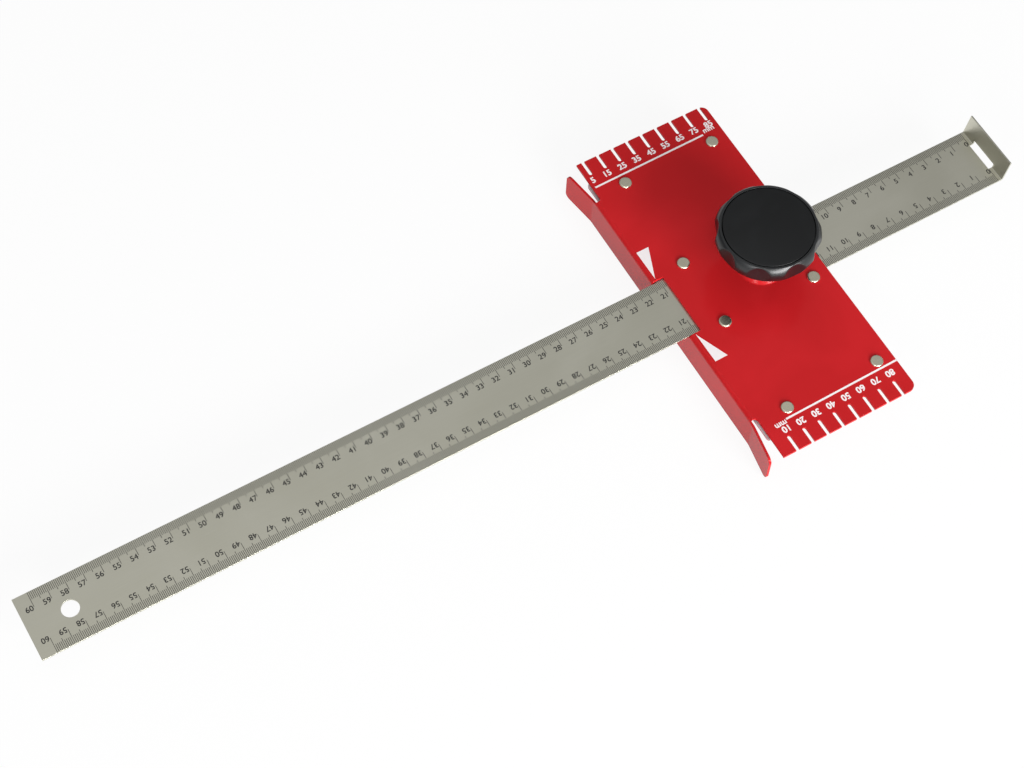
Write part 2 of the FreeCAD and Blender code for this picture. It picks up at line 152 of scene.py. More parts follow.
# Floor, in metres
FLOOR_REACH = 4.0
FLOOR_DROP = 0.0002  # under the part's lowest point

WHITE = (1.0, 1.0, 1.0, 1.0)
FLOOR_TINT = (0.9, 0.9, 0.9, 1.0)


# Node trees

def add(tree, kind, inputs=None, **settings):
    """A node with its settings, its inputs set to values or linked to sockets."""
    node = tree.nodes.new(kind)
    for key, value in settings.items():
        setattr(node, key, value)
    for key, value in (inputs or {}).items():
        feed(tree, node.inputs[key], value)
    return node


def feed(tree, socket, value):
    if isinstance(value, bpy.types.NodeSocket):
        tree.links.new(value, socket)
    else:
        socket.default_value = value


def reckon(tree, operation, *values):
    """The result of one Math node."""
    node = add(tree, "ShaderNodeMath", operation=operation)
    for socket, value in zip(node.inputs, values):
        feed(tree, socket, value)
    return node.outputs[0]


def point_at(tree, x=0.0, y=0.0, z=0.0):
    return add(tree, "ShaderNodeCombineXYZ", {"X": x, "Y": y, "Z": z}).outputs[0]


def vector_of(tree, operation, first, second):
    node = add(tree, "ShaderNodeVectorMath", {0: first, 1: second}, operation=operation)
    return node.outputs[0]


def new_group(name, kind, outputs, inputs):
    """A node group with the named outputs, and named inputs with their defaults."""
    tree = bpy.data.node_groups.new(name, kind)
    for label, socket_type in outputs.items():
        tree.interface.new_socket(label, in_out="OUTPUT", socket_type="NodeSocket" + socket_type)
    for label, (socket_type, default) in inputs.items():
        socket = tree.interface.new_socket(
            label, in_out="INPUT", socket_type="NodeSocket" + socket_type
        )
        if default is not None:
            socket.default_value = default
    given = tree.nodes.new("NodeGroupInput").outputs
    end = tree.nodes.new("NodeGroupOutput")
    return tree, given, end


# Effects that several finishes share

def grain_effect():
    """Moulded or sprayed grain, fine and broad, as a height."""
    tree, given, end = new_group(
        "surface_grain",
        "ShaderNodeTree",
        {"Height": "Float"},
        {"Vector": ("Vector", None), "Scale": ("Float", 1000.0), "Broad": ("Float", 0.3)},
    )
    fine = add(
        tree,
        "ShaderNodeTexNoise",
        {"Vector": given["Vector"], "Scale": given["Scale"], "Detail": 3.0},
    )
    broad = add(
        tree,
        "ShaderNodeTexNoise",
        {
            "Vector": given["Vector"],
            "Scale": reckon(tree, "MULTIPLY", given["Scale"], 0.17),
            "Detail": 1.0,
        },
    )
    mixed = add(
        tree,
        "ShaderNodeMix",
        {0: given["Broad"], 2: fine.outputs[0], 3: broad.outputs[0]},
        data_type="FLOAT",
    )
    tree.links.new(mixed.outputs[0], end.inputs["Height"])
    return tree


def brushing_effect():
    """Brushing lines along X, as a height."""
    tree, given, end = new_group(
        "brushed_lines",
        "ShaderNodeTree",
        {"Height": "Float"},
        {"Vector": ("Vector", None), "Lines": ("Float", 3500.0), "Length": ("Float", 25.0)},
    )
    drawn = vector_of(
        tree, "MULTIPLY", given["Vector"], point_at(tree, given["Length"], given["Lines"], 300.0)
    )
    lines = add(
        tree,
        "ShaderNodeTexNoise",
        {"Vector": drawn, "Scale": 1.0, "Detail": 3.0, "Roughness": 0.6},
    )
    tree.links.new(lines.outputs[0], end.inputs["Height"])
    return tree


def handling_effect():
    """Broad smudges and a few hairline scratches, as a mask."""
    tree, given, end = new_group(
        "handling_marks",
        "ShaderNodeTree",
        {"Mask": "Float"},
        {"Vector": ("Vector", None), "Smudges": ("Float", 25.0), "Scratches": ("Float", 0.3)},
    )
    cloud = add(
        tree,
        "ShaderNodeTexNoise",
        {
            "Vector": given["Vector"],
            "Scale": given["Smudges"],
            "Detail": 4.0,
            "Distortion": 0.6,
        },
    )
    smudge = add(
        tree,
        "ShaderNodeMapRange",
        {"Value": cloud.outputs[0], "From Min": 0.4, "From Max": 0.7},
        interpolation_type="SMOOTHSTEP",
    )
    turned = add(
        tree,
        "ShaderNodeMapping",
        {"Vector": given["Vector"], "Rotation": (0.0, 0.0, 0.5), "Scale": (60.0, 900.0, 60.0)},
    )
    lines = add(
        tree, "ShaderNodeTexNoise", {"Vector": turned.outputs[0], "Scale": 1.0, "Detail": 2.0}
    )
    hair = add(
        tree,
        "ShaderNodeMapRange",
        {"Value": lines.outputs[0], "From Min": 0.68, "From Max": 0.74},
    )
    scratched = reckon(tree, "MULTIPLY", hair.outputs[0], given["Scratches"])
    mask = reckon(tree, "MAXIMUM", smudge.outputs[0], scratched)
    tree.links.new(mask, end.inputs["Mask"])
    return tree


def spangle_effect():
    """The crystals of a zinc coat, each with its own shade."""
    tree, given, end = new_group(
        "zinc_spangle",
        "ShaderNodeTree",
        {"Shade": "Float"},
        {"Vector": ("Vector", None), "Scale": ("Float", 160.0)},
    )
    warp = add(
        tree, "ShaderNodeTexNoise", {"Vector": given["Vector"], "Scale": 300.0, "Detail": 2.0}
    )
    shift = vector_of(tree, "MULTIPLY", warp.outputs["Color"], (0.004, 0.004, 0.004))
    crystals = add(
        tree,
        "ShaderNodeTexVoronoi",
        {"Vector": vector_of(tree, "ADD", given["Vector"], shift), "Scale": given["Scale"]},
    )
    tone = add(tree, "ShaderNodeSeparateColor", {"Color": crystals.outputs["Color"]})
    tree.links.new(tone.outputs[0], end.inputs["Shade"])
    return tree


# Finishes

class Finish:
    """A material built on one Principled BSDF, with patterns in Object coordinates."""

    def __init__(self, name):
        self.material = bpy.data.materials.new(name)
        self.material.use_nodes = True
        self.tree = self.material.node_tree
        self.surface = self.tree.nodes["Principled BSDF"]
        self.place = self.tree.nodes.new("ShaderNodeTexCoord").outputs["Object"]

    def effect(self, group, **inputs):
        """A shared effect, laid over the piece."""
        return add(
            self.tree, "ShaderNodeGroup", {"Vector": self.place, **inputs}, node_tree=group
        ).outputs[0]

    def set(self, **inputs):
        """Values that are the same all over the surface."""
        for key, value in inputs.items():
            self.surface.inputs[key.replace("_", " ")].default_value = value

    def colour(self, mask, dark, light):
        mix = add(
            self.tree,
            "ShaderNodeMix",
            {0: mask, 6: (*dark, 1.0), 7: (*light, 1.0)},
            data_type="RGBA",
        )
        feed(self.tree, self.surface.inputs["Base Color"], mix.outputs[2])

    def roughness(self, mask, low, high):
        ramp = add(self.tree, "ShaderNodeMapRange", {"Value": mask, "To Min": low, "To Max": high})
        feed(self.tree, self.surface.inputs["Roughness"], ramp.outputs[0])

    def bump(self, height, depth, strength):
        bump = add(
            self.tree,
            "ShaderNodeBump",
            {"Height": height, "Distance": depth * MM, "Strength": strength},
        )
        feed(self.tree, self.surface.inputs["Normal"], bump.outputs[0])


GRAIN = grain_effect()
BRUSHING = brushing_effect()
HANDLING = handling_effect()
SPANGLE = spangle_effect()


def satin_stainless():
    finish = Finish("satin_stainless")
    lines = finish.effect(BRUSHING)
    marks = finish.effect(HANDLING, Smudges=14.0, Scratches=0.5)
    tone = reckon(
        finish.tree, "MULTIPLY_ADD", marks, 0.35, reckon(finish.tree, "MULTIPLY", lines, 0.65)
    )
    finish.colour(tone, (0.58, 0.57, 0.47), (0.68, 0.67, 0.58))
    finish.set(Metallic=1.0)
    finish.roughness(tone, 0.28, 0.42)
    finish.bump(lines, 0.02, 0.35)
    return finish.material


def etched_black():
    finish = Finish("etched_black")
    grain = finish.effect(GRAIN, Scale=3000.0)
    finish.colour(grain, (0.010, 0.010, 0.009), (0.045, 0.044, 0.040))
    finish.set(Roughness=0.55)
    finish.bump(grain, 0.01, 0.5)
    return finish.material


def red_powder_coat():
    finish = Finish("red_powder_coat")
    peel = finish.effect(GRAIN, Scale=600.0, Broad=0.5)
    marks = finish.effect(HANDLING, Smudges=18.0, Scratches=0.0)
    finish.colour(marks, (0.51, 0.013, 0.016), (0.56, 0.015, 0.019))
    finish.roughness(marks, 0.14, 0.20)
    finish.set(Specular_IOR_Level=0.13)
    finish.bump(peel, 0.04, 0.3)
    return finish.material


def white_print():
    finish = Finish("white_print")
    grain = finish.effect(GRAIN, Scale=2500.0)
    finish.colour(grain, (0.87, 0.81, 0.82), (0.93, 0.87, 0.88))
    finish.set(Roughness=0.4)
    finish.bump(grain, 0.01, 0.4)
    return finish.material


def zinc_coat():
    finish = Finish("zinc_coat")
    shade = finish.effect(SPANGLE)
    marks = finish.effect(HANDLING, Smudges=30.0, Scratches=0.6)
    finish.colour(shade, (0.78, 0.78, 0.81), (0.92, 0.92, 0.95))
    finish.set(Metallic=0.6)
    finish.roughness(marks, 0.42, 0.55)
    finish.bump(shade, 0.01, 0.3)
    return finish.material


def black_plastic(name, base, roughness, gloss, grain_scale, grain_strength):
    finish = Finish(name)
    finish.set(Specular_IOR_Level=gloss)
    grain = finish.effect(GRAIN, Scale=grain_scale, Broad=0.25)
    marks = finish.effect(HANDLING, Smudges=45.0, Scratches=0.3)
    smudged = tuple(value * 1.6 for value in base)
    finish.colour(marks, base, smudged)
    finish.roughness(marks, roughness, roughness + 0.08)
    finish.bump(grain, 0.05, grain_strength)
    return finish.material


def bare_metal(name, dark, light, roughness):
    finish = Finish(name)
    grain = finish.effect(GRAIN, Scale=1500.0, Broad=0.6)
    finish.colour(grain, dark, light)
    finish.set(Metallic=1.0)
    finish.roughness(grain, roughness, roughness + 0.1)
    finish.bump(grain, 0.01, 0.3)
    return finish.material


STAINLESS = satin_stainless()
ETCHED = etched_black()
RED_COAT = red_powder_coat()
WHITE_PRINT = white_print()
ZINC = zinc_coat()
KNOB_PLASTIC = black_plastic("moulded_black", (0.005, 0.006, 0.007), 0.32, 0.65, 1400.0, 0.06)
CAP_PLASTIC = black_plastic("grained_black", (0.003, 0.0035, 0.004), 0.36, 0.36, 1800.0, 0.3)
RIVET_STEEL = bare_metal("rivet_steel", (0.66, 0.63, 0.49), (0.80, 0.77, 0.62), 0.16)
TURNED_STEEL = bare_metal("turned_steel", (0.45, 0.46, 0.47), (0.60, 0.61, 0.62), 0.26)
PAD_BRASS = bare_metal("pad_brass", (0.55, 0.38, 0.14), (0.75, 0.55, 0.24), 0.26)


# Shapes

def box_mm(node):
    """A node's lowest and highest corners in millimetres."""
    low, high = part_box(node)
    return low / MM, high / MM


def link_object(name, data):
    piece = bpy.data.objects.new(name, data)
    bpy.context.scene.collection.objects.link(piece)
    return piece


def applied(piece):
    """The piece with its modifiers turned into a plain mesh."""
    graph = bpy.context.evaluated_depsgraph_get()
    mesh = bpy.data.meshes.new_from_object(piece.evaluated_get(graph), depsgraph=graph)
    piece.modifiers.clear()
    piece.data = mesh
    return piece


def finished(piece, body, sharp_angle=None):
    """Scales the piece to metres, points its faces outwards and gives it its body."""
    form = bmesh.new()
    form.from_mesh(piece.data)
    bmesh.ops.recalc_face_normals(form, faces=form.faces)
    form.to_mesh(piece.data)
    form.free()
    piece.data.transform(Matrix.Scale(MM, 4))
    if sharp_angle:
        piece.data.shade_smooth()
        piece.data.set_sharp_from_angle(angle=math.radians(sharp_angle))
    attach(piece, body)
    return piece


def grown(tree, name, outline=None, **inputs):
    """What a Geometry Nodes tree makes from its named inputs, as a plain mesh."""
    piece = link_object(name, outline or bpy.data.meshes.new(name))
    modifier = piece.modifiers.new("growth", "NODES")
    modifier.node_group = tree
    for item in tree.interface.items_tree:
        key = item.name.replace(" ", "_")
        if item.in_out == "INPUT" and key in inputs:
            modifier[item.identifier] = inputs[key]
    return applied(piece)


def close_tree(tree, parts, material, end):
    """Ends a tree: parts joined, instances made real and the material set."""
    joined = tree.nodes.new("GeometryNodeJoinGeometry")
    for part in parts:
        tree.links.new(part, joined.inputs[0])
    real = add(tree, "GeometryNodeRealizeInstances", {"Geometry": joined.outputs[0]})
    coated = add(
        tree, "GeometryNodeSetMaterial", {"Geometry": real.outputs[0], "Material": material}
    )
    tree.links.new(coated.outputs[0], end.inputs[0])


# Sheet metal

def tumbled_sheet(node, material, body):
    """A sheet's own solid with its sharp edges slightly rounded."""
    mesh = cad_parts[node].data.copy()
    form = bmesh.new()
    form.from_mesh(mesh)
    bmesh.ops.scale(form, vec=(1 / MM,) * 3, verts=form.verts)
    bmesh.ops.remove_doubles(form, verts=form.verts, dist=0.002)
    bmesh.ops.dissolve_limit(
        form, angle_limit=math.radians(0.2), verts=form.verts, edges=form.edges
    )
    form.to_mesh(mesh)
    form.free()
    mesh.materials.clear()
    mesh.materials.append(material)
    piece = link_object(node + "_sheet", mesh)
    bevel = piece.modifiers.new("edges", "BEVEL")
    bevel.width = EDGE_ROUNDING
    bevel.segments = 2
    bevel.limit_method = "ANGLE"
    bevel.angle_limit = math.radians(40)
    applied(piece)
    finished(piece, body, sharp_angle=35)
    shading = piece.modifiers.new("shading", "WEIGHTED_NORMAL")
    shading.keep_sharp = True
    applied(piece)
    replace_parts(piece, node)


# Marks

def characters_tree():
    """A word as thin solid characters round its own middle, lighter or bolder by its weight."""
    tree, given, end = new_group(
        "thin_characters",
        "GeometryNodeTree",
        {"Characters": "Geometry"},
        {
            "Words": ("String", ""),
            "Height": ("Float", 3.0),
            "Weight": ("Float", 0.0),
            "Thickness": ("Float", MARK_THICKNESS),
        },
    )
    drawn = add(
        tree,
        "GeometryNodeStringToCurves",
        {"String": given["Words"], "Size": reckon(tree, "DIVIDE", given["Height"], FACE_HEIGHT)},
    )
    real = add(tree, "GeometryNodeRealizeInstances", {"Geometry": drawn.outputs[0]})
    coarse = add(
        tree,
        "GeometryNodeSetSplineResolution",
        {"Geometry": real.outputs[0], "Resolution": FIGURE_CURVE_STEPS},
    )
    traced = add(tree, "GeometryNodeResampleCurve", {"Curve": coarse.outputs[0]}, mode="EVALUATED")
    along = tree.nodes.new("GeometryNodeInputTangent").outputs[0]
    outwards = vector_of(tree, "CROSS_PRODUCT", along, (0.0, 0.0, 1.0))
    push = add(
        tree, "ShaderNodeVectorMath", {0: outwards, "Scale": given["Weight"]}, operation="SCALE"
    )
    bolder = add(
        tree, "GeometryNodeSetPosition", {"Geometry": traced.outputs[0], "Offset": push.outputs[0]}
    )
    flat = add(tree, "GeometryNodeFillCurve", {"Curve": bolder.outputs[0]}).outputs[0]
    top = add(
        tree,
        "GeometryNodeExtrudeMesh",
        {"Mesh": flat, "Offset Scale": given["Thickness"], "Individual": False},
    )
    bottom = add(tree, "GeometryNodeFlipFaces", {"Mesh": flat})
    both = tree.nodes.new("GeometryNodeJoinGeometry")
    tree.links.new(top.outputs[0], both.inputs[0])
    tree.links.new(bottom.outputs[0], both.inputs[0])
    solid = add(
        tree, "GeometryNodeMergeByDistance", {"Geometry": both.outputs[0], "Distance": 0.0005}
    )
    reach = add(tree, "GeometryNodeBoundBox", {"Geometry": solid.outputs[0]})
    total = vector_of(tree, "ADD", reach.outputs["Min"], reach.outputs["Max"])
    back = vector_of(tree, "MULTIPLY", total, (-0.5, -0.5, 0.0))
    centred = add(
        tree, "GeometryNodeTransform", {"Geometry": solid.outputs[0], "Translation": back}
    )
    tree.links.new(centred.outputs[0], end.inputs[0])
    return tree


def figure_row_tree(characters):
    """A row of figures that count up by a step, each centred on its place."""
    tree, given, end = new_group(
        "figure_row",
        "GeometryNodeTree",
        {"Row": "Geometry"},
        {
            "Count": ("Int", 10),
            "First": ("Float", 0.0),
            "Step": ("Float", 1.0),
            "Place": ("Vector", None),
            "Pitch": ("Float", CENTIMETRE),
            "Turn": ("Float", 0.0),
            "Height": ("Float", 3.0),
            "Weight": ("Float", 0.0),
            "Thickness": ("Float", MARK_THICKNESS),
            "Material": ("Material", None),
        },
    )
    head = tree.nodes.new("GeometryNodeRepeatInput")
    tail = tree.nodes.new("GeometryNodeRepeatOutput")
    head.pair_with_output(tail)
    feed(tree, head.inputs["Iterations"], given["Count"])
    turn_count = head.outputs["Iteration"]
    number = reckon(tree, "MULTIPLY_ADD", turn_count, given["Step"], given["First"])
    words = add(tree, "FunctionNodeValueToString", {"Value": number})
    figure = add(
        tree,
        "GeometryNodeGroup",
        {
            "Words": words.outputs[0],
            "Height": given["Height"],
            "Weight": given["Weight"],
            "Thickness": given["Thickness"],
        },
        node_tree=characters,
    )
    shift = point_at(tree, reckon(tree, "MULTIPLY", turn_count, given["Pitch"]))
    placed = add(
        tree,
        "GeometryNodeTransform",
        {
            "Geometry": figure.outputs[0],
            "Rotation": point_at(tree, z=given["Turn"]),
            "Translation": vector_of(tree, "ADD", shift, given["Place"]),
        },
    )
    gathered = tree.nodes.new("GeometryNodeJoinGeometry")
    tree.links.new(head.outputs["Geometry"], gathered.inputs[0])
    tree.links.new(placed.outputs[0], gathered.inputs[0])
    tree.links.new(gathered.outputs[0], tail.inputs["Geometry"])
    close_tree(tree, [tail.outputs["Geometry"]], given["Material"], end)
    return tree


def graduation_tree():
    """Ticks along both edges of a ruler that runs from its zero towards -X."""
    tree, given, end = new_group(
        "graduations",
        "GeometryNodeTree",
        {"Ticks": "Geometry"},
        {
            "Count": ("Int", 601),
            "Zero": ("Vector", None),
            "Edge": ("Float", 19.0),
            "Short": ("Float", 5.0),
            "Middle": ("Float", 6.0),
            "Long": ("Float", 8.0),
            "Width": ("Float", 0.3),
            "Thickness": ("Float", MARK_THICKNESS),
            "Material": ("Material", None),
        },
    )
    row = add(
        tree,
        "GeometryNodeMeshLine",
        {"Count": given["Count"], "Start Location": given["Zero"], "Offset": (-1.0, 0.0, 0.0)},
    )
    index = tree.nodes.new("GeometryNodeInputIndex").outputs[0]

    def longer_every(number, plain, longer):
        rest = reckon(tree, "MODULO", index, number)
        return add(
            tree,
            "GeometryNodeSwitch",
            {"Switch": reckon(tree, "COMPARE", rest, 0.0, 0.5), "False": plain, "True": longer},
            input_type="FLOAT",
        ).outputs[0]

    length = longer_every(10.0, longer_every(5.0, given["Short"], given["Middle"]), given["Long"])
    bar = tree.nodes.new("GeometryNodeMeshCube")
    rows = []
    for side in (1.0, -1.0):
        middle = reckon(tree, "SUBTRACT", given["Edge"], reckon(tree, "MULTIPLY", length, 0.5))
        shift = point_at(tree, y=reckon(tree, "MULTIPLY", middle, side))
        moved = add(tree, "GeometryNodeSetPosition", {"Geometry": row.outputs[0], "Offset": shift})
        ticks = add(
            tree,
            "GeometryNodeInstanceOnPoints",
            {
                "Points": moved.outputs[0],
                "Instance": bar.outputs[0],
                "Scale": point_at(tree, given["Width"], length, given["Thickness"]),
            },
        )
        rows.append(ticks.outputs[0])
    close_tree(tree, rows, given["Material"], end)
    return tree


def ruler_scales(figure_row):
    """Ticks and figures of the ruler's two scales."""
    low, high = box_mm("ruler")
    surface = low.z + RULER_SHEET
    edge = high.y
    ticks = grown(
        graduation_tree(),
        "ruler_ticks",
        Count=10 * RULER_CENTIMETRES + 1,
        Zero=Vector((RULER_ZERO, 0.0, surface + MARK_THICKNESS / 2 - MARK_SINK)),
        Edge=edge - TICK_EDGE_GAP,
        Short=TICK_LENGTHS[0],
        Middle=TICK_LENGTHS[1],
        Long=TICK_LENGTHS[2],
        Width=TICK_WIDTH,
        Material=ETCHED,
    )
    finished(ticks, "ruler")
    first_x = RULER_ZERO - CENTIMETRE - RULER_FIGURE_ASIDE
    zero_x = RULER_ZERO - ZERO_FIGURE_ASIDE
    for label, count, first, row_x, inset in (
        ("figures", RULER_CENTIMETRES, 1.0, first_x, RULER_FIGURE_INSET),
        ("zero", 1, 0.0, zero_x, ZERO_FIGURE_INSET),
    ):
        for edge_name, side, turn in (("far_", 1, 0.0), ("near_", -1, math.pi)):
            row = grown(
                figure_row,
                edge_name + label,
                Count=count,
                First=first,
                Place=Vector((row_x, side * (edge - inset), surface - MARK_SINK)),
                Pitch=-CENTIMETRE,
                Turn=turn,
                Height=RULER_FIGURE_HEIGHT,
                Weight=RULER_FIGURE_WEIGHT,
                Material=ETCHED,
            )
            finished(row, "ruler")


def printed_area(corners, level):
    """A flat printed area as a thin solid."""
    form = bmesh.new()
    face = form.faces.new([form.verts.new((x, y, level)) for x, y in corners])
    raised = bmesh.ops.extrude_face_region(form, geom=[face], use_keep_orig=True)
    moved = [v for v in raised["geom"] if isinstance(v, bmesh.types.BMVert)]
    bmesh.ops.translate(form, vec=(0, 0, MARK_THICKNESS), verts=moved)
    mesh = bpy.data.meshes.new("printed_area")
    form.to_mesh(mesh)
    form.free()
    return mesh


def printed_line(x0, x1, y, level):
    half = COMB_LINE_THICKNESS / 2
    return printed_area([(x0, y - half), (x1, y - half), (x1, y + half), (x0, y + half)], level)


def comb_scales(figure_row, characters):
    """The white figures, lines and pointers on the comb plate."""
    level = box_mm("spacer_1")[1].z + COMB_SHEET - MARK_SINK
    form = bmesh.new()
    for name, side, first, count, turn, unit_place, line in COMB_ROWS:
        figures = grown(
            figure_row,
            name,
            Count=count,
            First=first,
            Step=CENTIMETRE,
            Place=Vector((first, side * COMB_FIGURES_Y, level)),
            Pitch=CENTIMETRE,
            Turn=turn,
            Height=COMB_FIGURE_HEIGHT,
            Weight=COMB_FIGURE_WEIGHT,
            Material=WHITE_PRINT,
        )
        unit = grown(
            characters,
            name + "_unit",
            Words="mm",
            Height=UNIT_HEIGHT,
            Weight=UNIT_WEIGHT,
            Thickness=MARK_THICKNESS,
        )
        unit_x, unit_y = unit_place
        unit.data.transform(
            Matrix.Translation((unit_x, side * unit_y, level)) @ Matrix.Rotation(turn, 4, "Z")
        )
        pointer = [
            (0.0, side * POINTER_TIP_Y),
            (0.0, side * POINTER_END_Y),
            (POINTER_WIDTH, side * POINTER_END_Y),
        ]
        form.from_mesh(figures.data)
        form.from_mesh(unit.data)
        form.from_mesh(printed_line(*line, side * COMB_LINE_Y, level))
        form.from_mesh(printed_area(pointer, level))
        bpy.data.objects.remove(figures)
        bpy.data.objects.remove(unit)
    mesh = bpy.data.meshes.new("comb_print")
    form.to_mesh(mesh)
    form.free()
    mesh.transform(Matrix.Rotation(PRINT_SKEW, 4, "Z"))
    mesh.materials.clear()
    mesh.materials.append(WHITE_PRINT)
    for face in mesh.polygons:
        face.material_index = 0
    finished(link_object("comb_print", mesh), "slider")


# Clamp knob

def rounded(corners, steps=4):
    """A closed outline through (radius, level, rounding) corners, with its corners rounded."""
    path = []
    for index, (x, z, rounding) in enumerate(corners):
        here = Vector((x, z))
        if not rounding:
            path.append(here)
            continue
        to_before = (Vector(corners[index - 1][:2]) - here).normalized()
        to_after = (Vector(corners[(index + 1) % len(corners)][:2]) - here).normalized()
        reach = rounding / math.tan(to_before.angle(to_after) / 2)
        first, last = here + to_before * reach, here + to_after * reach
        for step in range(steps + 1):
            share = step / steps
            path.append(first.lerp(here, share).lerp(here.lerp(last, share), share))
    return path


def bowed(start, end, sag, steps):
    """Points of an arc from start to end that stands out by sag at its middle."""
    (x0, z0), (x1, z1) = start, end
    chord = math.hypot(x1 - x0, z1 - z0)
    radius = (chord * chord / 4 + sag * sag) / (2 * sag)
    half_angle = math.asin(chord / (2 * radius))
    middle = Vector(((x0 + x1) / 2, (z0 + z1) / 2))
    outwards = Vector((z1 - z0, x0 - x1)) / chord
    centre = middle - outwards * (radius - sag)
    facing = math.atan2(outwards.y, outwards.x)
    angles = [facing + half_angle * (2 * step / steps - 1) for step in range(steps + 1)]
    return [(centre.x + radius * math.cos(a), centre.y + radius * math.sin(a), 0) for a in angles]


def section_mesh(name, path):
    """A section right of the axis, as edges; a turned mesh takes -Y of its section upwards."""
    mesh = bpy.data.meshes.new(name)
    mesh.from_pydata(
        [(p.x, -p.y, 0.0) for p in path],
        [(i, (i + 1) % len(path)) for i in range(len(path))],
        [],
    )
    return mesh


def turned_on(tree, section, segments):
    """The section turned round the Z axis."""
    # The path is a circle too small to see, so that the section keeps its radii
    path = add(
        tree, "GeometryNodeCurvePrimitiveCircle", {"Resolution": segments, "Radius": 0.0005}
    )
    profile = add(tree, "GeometryNodeMeshToCurve", {"Mesh": section})
    turned = add(
        tree,
        "GeometryNodeCurveToMesh",
        {"Curve": path.outputs[0], "Profile Curve": profile.outputs[0]},
    )
    closed = add(
        tree, "GeometryNodeMergeByDistance", {"Geometry": turned.outputs[0], "Distance": 0.002}
    )
    return closed.outputs[0]


def cap_tree():
    """A plain turned piece on the clamp's axis."""
    tree, given, end = new_group(
        "turned_piece",
        "GeometryNodeTree",
        {"Piece": "Geometry"},
        {
            "Section": ("Geometry", None),
            "Segments": ("Int", SEGMENTS),
            "Axis": ("Vector", None),
            "Material": ("Material", None),
        },
    )
    turned = turned_on(tree, given["Section"], given["Segments"])
    placed = add(
        tree, "GeometryNodeTransform", {"Geometry": turned, "Translation": given["Axis"]}
    )
    close_tree(tree, [placed.outputs[0]], given["Material"], end)
    return tree


def halfway(tree, first, second):
    return reckon(tree, "MULTIPLY", reckon(tree, "ADD", first, second), 0.5)


def nearest_share(tree, angle, count, phase):
    """The angle from the nearest of count equal directions that start at phase."""
    pitch = reckon(tree, "DIVIDE", math.tau, count)
    half = reckon(tree, "MULTIPLY", pitch, 0.5)
    shifted = reckon(tree, "ADD", reckon(tree, "SUBTRACT", angle, phase), half)
    return reckon(tree, "SUBTRACT", reckon(tree, "FLOORED_MODULO", shifted, pitch), half)


